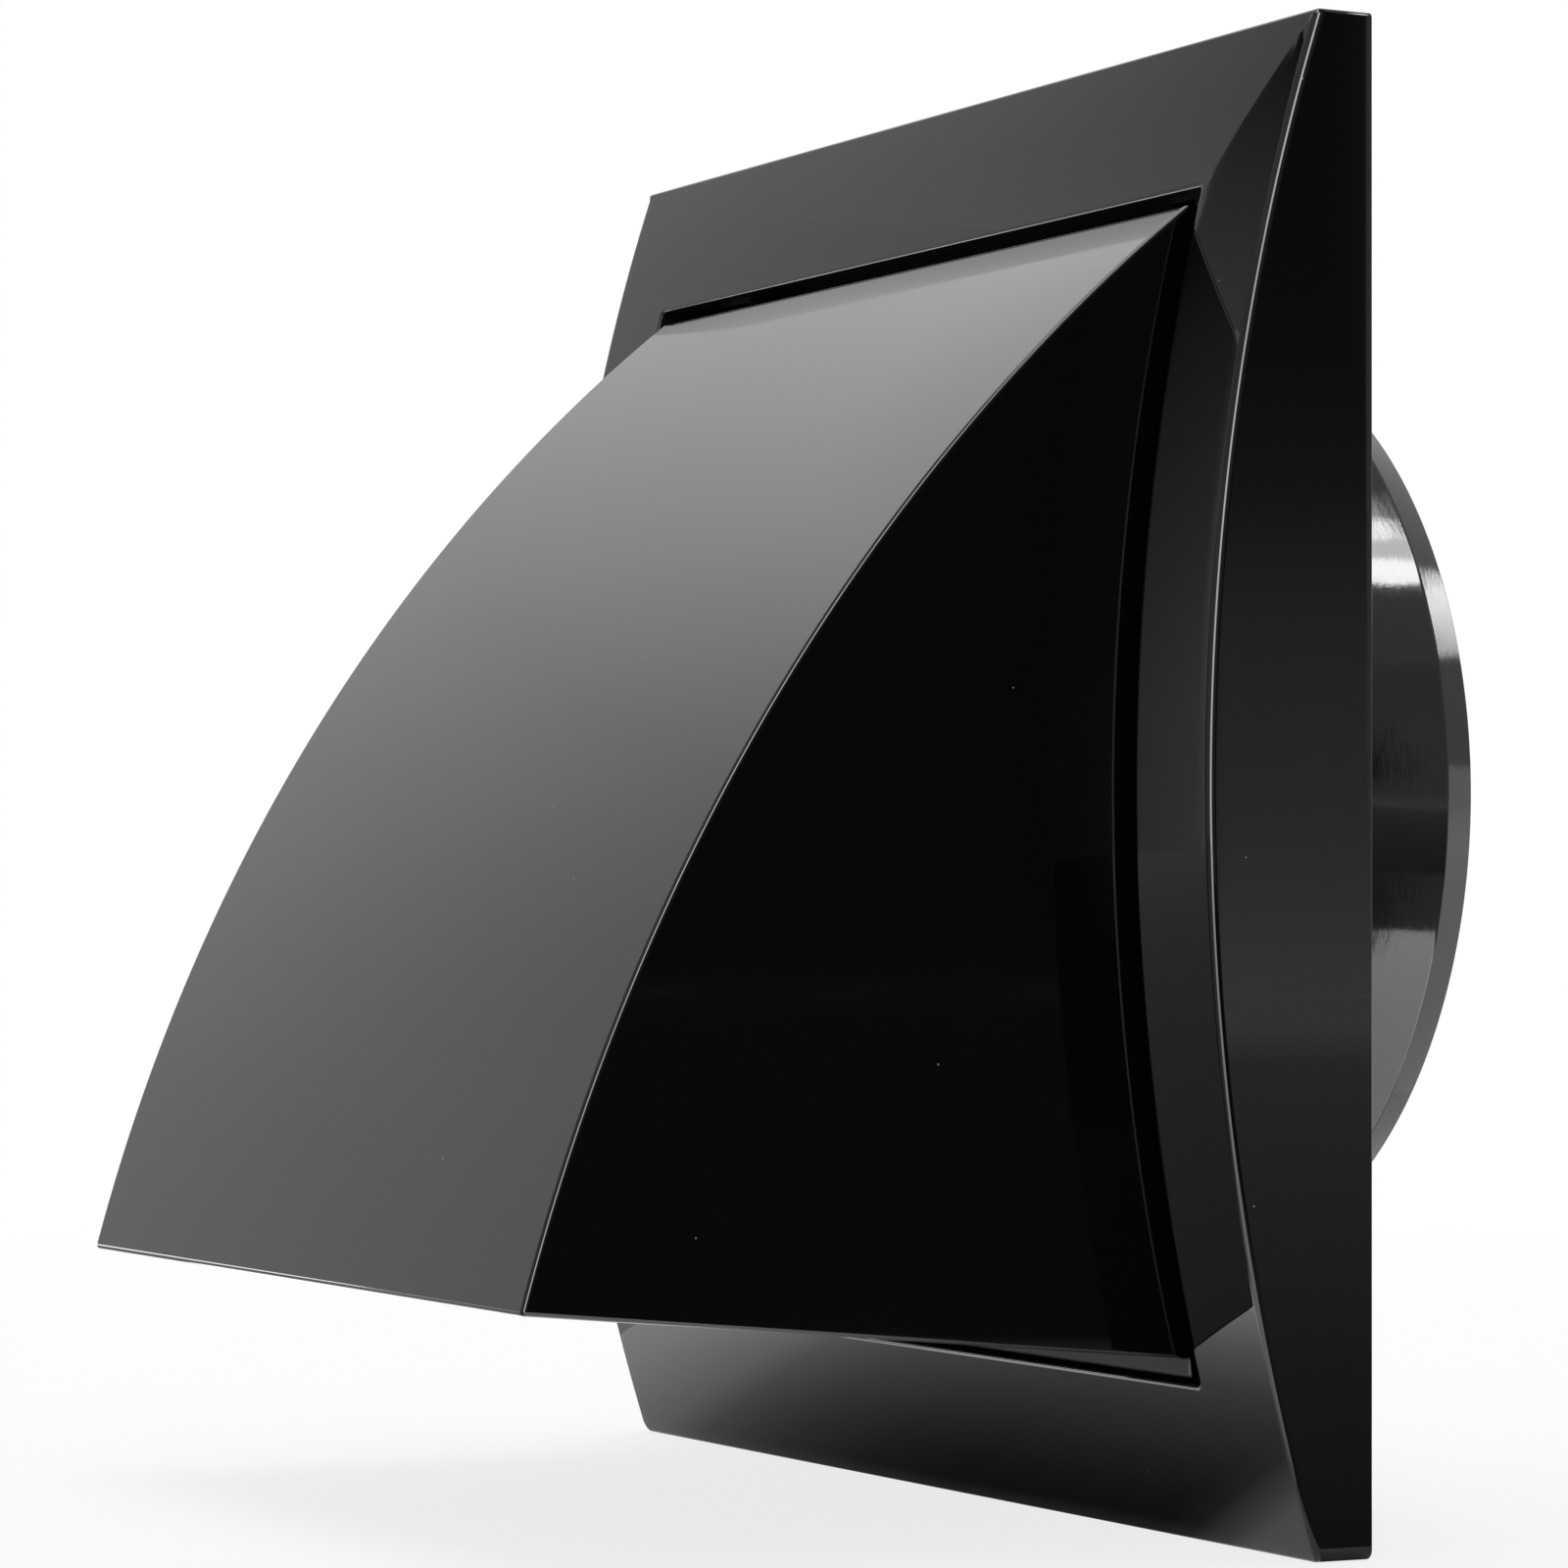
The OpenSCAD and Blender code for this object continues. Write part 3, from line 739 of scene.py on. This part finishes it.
view = {"place": (0.502369, -0.281522, -0.013959), "azimuth": 62.9865, "pitch": 1.5436, "roll": 0.1636,
        "lens": 122.433}


def makeCamera():
    a, b, r = (math.radians(view[k]) for k in ("azimuth", "pitch", "roll"))
    ahead = np.array([-math.sin(a) * math.cos(b), math.cos(a) * math.cos(b), math.sin(b)])
    right0 = np.array([math.cos(a), math.sin(a), 0.0])
    up0 = np.cross(right0, ahead)
    right = math.cos(r) * right0 + math.sin(r) * up0
    up = -math.sin(r) * right0 + math.cos(r) * up0
    data = bpy.data.cameras.new("camera")
    data.lens, data.sensor_width, data.clip_start = view["lens"], 36.0, 0.01
    camera = bpy.data.objects.new("camera", data)
    matrix = Matrix.Identity(4)
    for i in range(3):
        matrix[i][0], matrix[i][1], matrix[i][2], matrix[i][3] = right[i], up[i], -ahead[i], view["place"][i]
    camera.matrix_world = matrix
    bpy.context.scene.collection.objects.link(camera)
    bpy.context.scene.camera = camera


makeCamera()


# Studio: a white floor and background, soft lamps, and glowing cards, panels and a dome that only show as reflections:
# painted reflections of cloths, paper and lamps round the object, and a painted shadow of the hood on the floor

studio = {
    "floor": -0.074, "floorRadius": 9.0,
    "clear": (0.20, 0.55),        # distances between which the floor turns into the white background
    "shadow": 0.2,                # how much of its shade the floor keeps before the camera
    "ambient": 0.55,              # plain level of the light from all round
    "domeRadius": 4.5,
}


def seenRays(tree):
    # 1 for what the camera, a mirror-like surface or a clear one sees directly, and 1 for the camera alone
    path = addNode(tree, "LightPath")
    some = addNode(tree, "Math", {0: path.outputs["Is Camera Ray"], 1: path.outputs["Is Glossy Ray"]},
                   operation="MAXIMUM")
    all_ = addNode(tree, "Math", {0: some.outputs[0], 1: path.outputs["Is Transmission Ray"]},
                   operation="MAXIMUM")
    return all_.outputs[0], path.outputs["Is Camera Ray"]


def makeWorld():
    world = bpy.data.worlds.new("studio")
    world.use_nodes = True
    tree = world.node_tree
    tree.nodes.clear()
    strength = addNode(tree, "MapRange", {"Value": seenRays(tree)[0], "To Min": studio["ambient"], "To Max": 1.0})
    back = addNode(tree, "Background", {"Color": (1, 1, 1, 1), "Strength": strength.outputs[0]})
    out = addNode(tree, "OutputWorld")
    tree.links.new(back.outputs[0], out.inputs["Surface"])
    bpy.context.scene.world = world


def addStaged(name, points, faces, material):
    mesh = bpy.data.meshes.new(name)
    mesh.from_pydata(np.reshape(points, (-1, 3)).tolist(), [], faces)
    mesh.materials.append(material)
    piece = bpy.data.objects.new(name, mesh)
    bpy.context.scene.collection.objects.link(piece)
    return piece


def onlyMirrored(piece):
    piece.visible_camera = piece.visible_diffuse = piece.visible_shadow = False
    piece.visible_transmission = piece.visible_volume_scatter = False


def makeFloor():
    # A disc of rings that grow wider; its colour turns into the white of the background away from the object
    a = np.linspace(0, 2 * math.pi, 96, endpoint=False)
    r = np.geomspace(0.02, studio["floorRadius"], 24)
    rings = np.stack([r[:, None] * np.cos(a), r[:, None] * np.sin(a), np.full((len(r), len(a)), studio["floor"])], -1)
    material, tree, spot = newMaterial("paleFloor")
    level = addNode(tree, "VectorMath", {0: spot, 1: (1.0, 1.0, 0.0)}, operation="MULTIPLY")
    away = addNode(tree, "VectorMath", {0: level.outputs[0]}, operation="LENGTH")
    near, far = studio["clear"]
    clear = addNode(tree, "MapRange", {"Value": away.outputs["Value"], "From Min": near, "From Max": far},
                    interpolation_type="SMOOTHSTEP")
    seen, camera = seenRays(tree)
    distant = addNode(tree, "Math", {0: clear.outputs[0], 1: seen}, operation="MULTIPLY")
    close = addNode(tree, "Math", {0: camera, 1: 1 - studio["shadow"]}, operation="MULTIPLY")
    fac = addNode(tree, "Math", {0: distant.outputs[0], 1: close.outputs[0]}, operation="MAXIMUM")
    paint = addNode(tree, "BsdfDiffuse", {"Color": (0.9, 0.9, 0.9, 1)})
    glow = addNode(tree, "Emission", {"Color": (1, 1, 1, 1), "Strength": 1.0})
    mix = addNode(tree, "MixShader", {0: fac.outputs[0], 1: paint.outputs[0], 2: glow.outputs[0]})
    faces = gridFaces(len(r), len(a), False) + [list(range(len(a)))]
    addStaged("floor", rings, faces, finishMaterial(material, tree, mix))


def setRamp(node, stops):
    # Stops of position and grey level
    ramp = node.color_ramp
    while len(ramp.elements) < len(stops):
        ramp.elements.new(0.5)
    for element, (position, value) in zip(ramp.elements, stops):
        element.position = position
    for element, (position, value) in zip(ramp.elements, stops):
        element.color = (value, value, value, 1)


def greyRamp(tree, value, low, high, stops):
    # A level by a value between two limits; the stops are shares of that way, and the levels there
    share = addNode(tree, "MapRange", {"Value": value, "From Min": low, "From Max": high})
    ramp = addNode(tree, "ValToRGB", {0: share.outputs[0]})
    brightest = max(level for position, level in stops)
    setRamp(ramp, [(position, level / brightest) for position, level in stops])
    return addNode(tree, "Math", {0: ramp.outputs[0], 1: brightest}, operation="MULTIPLY").outputs[0]


def rampOf(tree, value, low, high, stops):
    # A level by angle; the limits and the stops are in degrees
    return greyRamp(tree, value, math.radians(low), math.radians(high),
                    [((angle - low) / (high - low), level) for angle, level in stops])


reflected = {
    # The glow of the dome at each azimuth, a painted reflection of the studio round the object: the open room behind,
    # white paper on the left, the dim room in front, a painted tall lamp beside the camera and the black cloth on the
    # right
    "round": [(-180, 0.5), (-150, 0.7), (-120, 0.95), (-104, 1.0), (-88, 0.97), (-83, 0.92), (-78, 0.82),
              (-75, 0.73), (-72, 0.65), (-70, 0.62), (-66, 0.60), (-61, 0.55), (-45, 0.4), (0, 0.45), (37, 0.5),
              (38, 8.0), (55.5, 8.0), (56.5, 6.0), (57.5, 3.6), (59.2, 1.9), (61, 1.0), (62, 0.25), (85, 0.2),
              (104, 0.1), (110, 0.022), (121, 0.022), (123.0, 0.045), (123.5, 0.42), (150, 0.5), (180, 0.5)],
    "up": [(0, 1.1), (14, 1.08), (20, 0.98), (24, 0.96), (26.5, 1.08), (28.5, 1.22), (40, 1.2), (90, 0.9)],
    # low light in the open room behind the cloth, by height, and the azimuth at which it begins
    "low": [(-1.5, 0.64), (-0.7, 0.62), (0.2, 0.5), (1.3, 0.39), (2.4, 0.33), (3.4, 0.27), (5, 0.11), (6.5, 0.05),
            (12, 0.0)],
    "lowStart": 120.6,
}


def makeReflectionDome():
    # A glowing dome that only mirror-like surfaces see: a painted reflection of the studio round the object
    az = np.linspace(0, 2 * math.pi, 96, endpoint=False)
    el = np.radians(np.linspace(-1.5, 89.5, 40))
    rings = studio["domeRadius"] * np.stack([
        np.cos(el)[:, None] * np.sin(az), -np.cos(el)[:, None] * np.cos(az), np.repeat(np.sin(el)[:, None], len(az), 1)], -1)
    material, tree, spot = newMaterial("paintedReflectionDome")
    way = addNode(tree, "VectorMath", {0: spot}, operation="NORMALIZE")
    split = addNode(tree, "SeparateXYZ", {"Vector": way.outputs[0]})
    back = addNode(tree, "Math", {0: split.outputs["Y"], 1: -1.0}, operation="MULTIPLY")
    azimuth = addNode(tree, "Math", {0: split.outputs["X"], 1: back.outputs[0]}, operation="ARCTAN2").outputs[0]
    height = addNode(tree, "Math", {0: split.outputs["Z"]}, operation="ARCSINE").outputs[0]
    around = reflected["round"]
    left = rampOf(tree, azimuth, -180, 0, [s for s in around if s[0] <= 0])
    right = rampOf(tree, azimuth, 0, 180, [s for s in around if s[0] >= 0])
    side = addNode(tree, "Math", {0: azimuth, 1: 0.0}, operation="GREATER_THAN")
    ring = addNode(tree, "Mix", {0: side.outputs[0], 2: left, 3: right})
    up = rampOf(tree, height, 0, 90, reflected["up"])
    base = addNode(tree, "Math", {0: ring.outputs[0], 1: up}, operation="MULTIPLY")
    start = reflected["lowStart"]
    behind = addNode(tree, "MapRange", {"Value": azimuth, "From Min": math.radians(start - 0.4),
                                        "From Max": math.radians(start + 0.4)})
    low = addNode(tree, "Math", {0: rampOf(tree, height, -1.5, 12, reflected["low"]), 1: behind.outputs[0]},
                  operation="MULTIPLY")
    glowing = addNode(tree, "Math", {0: base.outputs[0], 1: low.outputs[0]}, operation="MAXIMUM")
    glow = addNode(tree, "Emission", {"Color": (1, 1, 1, 1), "Strength": glowing.outputs[0]})
    faces = gridFaces(len(el), len(az), False) + [list(range((len(el) - 1) * len(az), len(el) * len(az)))]
    onlyMirrored(addStaged("paintedReflectionDome", rings, faces, finishMaterial(material, tree, glow)))


def addCard(name, azimuths, distances, strengths, lift=0.0005):
    # A glowing card on the floor between two azimuths and two distances, which only shows as a reflection: a painted
    # reflection, dark where it stands for cloth and bright where it stands for lit paper or floor.
    # The azimuths may be one pair, or one pair for the near edge and one for the far edge. Its brightness runs
    # with the logarithm of the distance, from the near edge's to the far edge's.
    starts, ends = np.radians(np.broadcast_to(azimuths, (2, 2))).T
    az = starts[:, None] + (ends - starts)[:, None] * np.linspace(0, 1, 25)
    r = np.array(distances)[:, None]
    rings = np.stack([r * np.sin(az), -r * np.cos(az), np.full(az.shape, studio["floor"] + lift)], -1)
    index = np.arange(az.size).reshape(az.shape)
    faces = np.stack([index[0, :-1], index[0, 1:], index[1, 1:], index[1, :-1]], -1).tolist()
    material, tree, spot = newMaterial(name)
    level = addNode(tree, "VectorMath", {0: spot, 1: (1.0, 1.0, 0.0)}, operation="MULTIPLY")
    away = addNode(tree, "VectorMath", {0: level.outputs[0]}, operation="LENGTH")
    power = addNode(tree, "Math", {0: away.outputs["Value"], 1: math.e}, operation="LOGARITHM")
    strength = addNode(tree, "MapRange", {"Value": power.outputs[0], "From Min": math.log(distances[0]),
                                          "From Max": math.log(distances[1]), "To Min": strengths[0],
                                          "To Max": strengths[1]})
    glow = addNode(tree, "Emission", {"Color": (1, 1, 1, 1), "Strength": strength.outputs[0]})
    onlyMirrored(addStaged(name, rings, faces, finishMaterial(material, tree, glow)))


def addPanel(name, corners, strengths, seenFrom=(0, 0, 0), gap=0.4):
    # A glowing panel that only shows as a reflection: a painted reflection of a wall, a dark patch or a lamp, or a
    # painted highlight. Its corners are the azimuths and heights in degrees at which a place on the object, in
    # millimetres, sees them; the strengths belong to the corners and blend between them. The gap is its distance from
    # the glowing dome in metres.
    u, v = np.meshgrid(np.linspace(0, 1, 17), np.linspace(0, 1, 11))
    blend = lambda c: (1 - v) * ((1 - u) * c[0] + u * c[1]) + v * ((1 - u) * c[3] + u * c[2])
    az, el = (blend(np.radians(np.array(corners, float))[:, axis]) for axis in (0, 1))
    points = np.array(seenFrom) * mm + (studio["domeRadius"] - gap) * np.stack(
        [np.cos(el) * np.sin(az), -np.cos(el) * np.cos(az), np.sin(el)], -1)
    index = np.arange(az.size).reshape(az.shape)
    faces = np.stack([index[:-1, :-1], index[:-1, 1:], index[1:, 1:], index[1:, :-1]], -1).reshape(-1, 4).tolist()
    material, tree, spot = newMaterial(name)
    level = addNode(tree, "Attribute", attribute_name="level")
    glow = addNode(tree, "Emission", {"Color": (1, 1, 1, 1), "Strength": level.outputs["Fac"]})
    panel = addStaged(name, points, faces, finishMaterial(material, tree, glow))
    onlyMirrored(panel)
    layer = panel.data.attributes.new("level", "FLOAT", "POINT")
    layer.data.foreach_set("value", blend(np.broadcast_to(strengths, 4)).ravel())


shade = {
    # How bright the floor in front of the plate is where the plate mirrors it, under the hood and beside it:
    # by the distance in front of the wall and by the place across, both in millimetres
    "deep": [(-90, 0.2), (-78, 0.7), (-68, 2.6), (-56, 2.4), (-50, 1.3), (-44, 0.93), (-40, 0.70), (-35, 0.51), (-31.5, 0.36), (-25, 0.22), (-17, 0.1),
             (-12, 0.05), (-8, 0.03), (-6.6, 0.09)],
    "across": [(-110, 1.1), (-96, 1.0), (-80, 0.75), (-70, 0.58), (-60, 0.32), (-50, 0.2), (-40, 0.12),
               (-20, 0.04), (0, 0.01), (44, 0.01), (50, 0.05), (57, 0.28), (62, 0.54), (68, 0.6), (80, 0.65)],
}


def addShade():
    # The hood's shade on the floor, as a card that only shows as a reflection in the lower border of the plate
    x0, x1, y0, y1 = -0.11, 0.08, -0.09, -0.0055
    z = studio["floor"] + 0.00003
    points = [(x0, y0, z), (x1, y0, z), (x1, y1, z), (x0, y1, z)]
    material, tree, spot = newMaterial("floorShade")
    split = addNode(tree, "SeparateXYZ", {"Vector": spot})
    parts = []
    for axis, key in (("Y", "deep"), ("X", "across")):
        stops = shade[key]
        low, high = stops[0][0], stops[-1][0]
        parts.append(greyRamp(tree, split.outputs[axis], low * mm, high * mm,
                              [((v - low) / (high - low), level) for v, level in stops]))
    total = addNode(tree, "Math", {0: parts[0], 1: parts[1]}, operation="ADD")
    glow = addNode(tree, "Emission", {"Color": (1, 1, 1, 1), "Strength": total.outputs[0]})
    onlyMirrored(addStaged("floorShade", points, [[0, 1, 2, 3]], finishMaterial(material, tree, glow)))


def addLamp(name, azimuth, elevation, distance, size, radiance, upright=False, mirrored=True):
    # A rectangular soft lamp that faces the object; radiance is what a mirror would show
    a, e = math.radians(azimuth), math.radians(elevation)
    way = Vector((math.sin(a) * math.cos(e), -math.cos(a) * math.cos(e), math.sin(e)))
    data = bpy.data.lights.new(name, "AREA")
    data.shape = "RECTANGLE"
    data.size, data.size_y = size
    data.energy = radiance * math.pi * size[0] * size[1]
    lamp = bpy.data.objects.new(name, data)
    lamp.location = way * distance
    facing = Vector((way.x, way.y, 0)) if upright else way
    lamp.rotation_mode = "QUATERNION"
    lamp.rotation_quaternion = facing.to_track_quat("Z", "Y")
    lamp.visible_camera, lamp.visible_glossy = False, mirrored
    bpy.context.scene.collection.objects.link(lamp)


makeWorld()
makeFloor()
makeReflectionDome()
addShade()
# Glowing cards on the floor that only show as reflections: painted reflections, dark where they stand for black or grey
# cloth, bright where they stand for lit paper and floor
addCard("paintedDarkReflection", ((63.5, 112), (62, 115)), (0.30, 0.50), (0.03, 0.03))
addCard("paintedDarkReflectionFar", ((62, 115), (61.5, 118)), (0.50, 4.4), (0.03, 0.03))
addCard("paintedDarkReflectionNear", ((76, 122.5), (63.5, 122.5)), (0.08, 0.30), (0.08, 0.16))
addCard("paintedGreyReflection", ((112, 150), (115, 150)), (0.30, 0.50), (0.16, 0.22))
addCard("paintedGreyReflectionMiddle", ((115, 150), (119, 150)), (0.50, 1.9), (0.22, 0.36))
addCard("paintedGreyReflectionNear", (122.5, 150), (0.172, 0.30), (0.34, 0.33))
addCard("paintedGreyReflectionFar", ((119, 150), (119.8, 150)), (1.9, 2.8), (0.36, 0.62))
addCard("paintedOpenFloorReflection", ((119.8, 150), (120.3, 150)), (2.8, 4.4), (0.62, 0.62))
addCard("paintedBounceReflection", (122.5, 150), (0.05, 0.172), (1.6, 3.6))
addCard("paintedLitFloorReflection", (150, 178), (0.10, 0.74), (1.0, 1.5))
addCard("paintedLitFloorReflectionFar", (150, 178), (0.74, 4.4), (1.5, 1.2))
addCard("paintedPaperReflection", ((38, 63.5), (38, 61.5)), (0.30, 0.80), (3.2, 4.4))
addCard("paintedPaperReflectionFar", (38, 61.5), (0.80, 4.4), (4.4, 7.0))
addCard("paintedPaperReflectionNear", ((38, 76), (38, 63.5)), (0.08, 0.30), (1.6, 3.2))
addCard("paintedDimFloorReflection", (-60, 38), (0.12, 4.4), (0.45, 0.35))
addCard("paintedPaperReflectionFront", (-66, -50), (0.30, 1.0), (3.2, 3.2), 0.0008)
addCard("paintedPaperReflectionLeft", (-75, -60), (0.13, 4.4), (0.45, 0.5))
# Glowing panels that only show as reflections, aimed at places on the object: painted reflections of a dim wall and a
# dark patch on the plate's upper right, of lamps behind that give the spigot its bright bands, of the horizon behind,
# and a painted highlight along the window's lower edge
onPatch, onSpigot, onMouth = (66, -9, 60), (44, 20, 26), (0, -10, -58)
addPanel("paintedDimReflection", [(-72.5, 20.5), (-65, 20.5), (-65, 27.4), (-74, 27.4)], (0.63, 0.62, 0.26, 0.72), onPatch)
addPanel("paintedDarkPatchReflection", [(-62.7, 17), (-50, 17), (-50, 26.8), (-68.2, 26.8)], (0.29, 0.29, 0.03, 0.03), onPatch, 0.5)
addPanel("paintedLampReflectionLow", [(134, 42.2), (151, 42.6), (153, 46.8), (137, 46.8)], 17, onSpigot)
addPanel("paintedLampReflectionMiddle", [(137, 46.8), (153, 46.8), (157, 50.2), (143, 50.2)], 8, onSpigot)
addPanel("paintedLampReflectionHigh", [(143, 50.2), (149.9, 50.2), (156.8, 53), (150, 53)], 16, onSpigot)
addPanel("paintedLampReflectionTop", [(150, 53), (156.8, 53), (168.5, 56.1), (160, 56.1)], (6, 6, 2, 2), onSpigot)
addPanel("paintedLampReflectionFar", [(170, 19), (182, 21), (184, 28), (174, 25.5)], (4.5, 4.5, 9, 9), onSpigot)
addPanel("paintedHorizonReflection", [(156, -1.2), (182, -1.2), (182, 5), (156, 5)], 1.2)
addPanel("paintedMouthHighlight", [(-73, 0.6), (-55, 0.6), (-55, 4.4), (-73, 4.4)], 7, onMouth, 4.15)
addLamp("leftFill", -105, 24, 2.2, (2.0, 1.4), 1.6, mirrored=False)
addLamp("overhead", -90, 75, 1.8, (1.4, 1.4), 2.2)
bpy.context.scene.view_settings.view_transform = "Standard"
print("studio made")
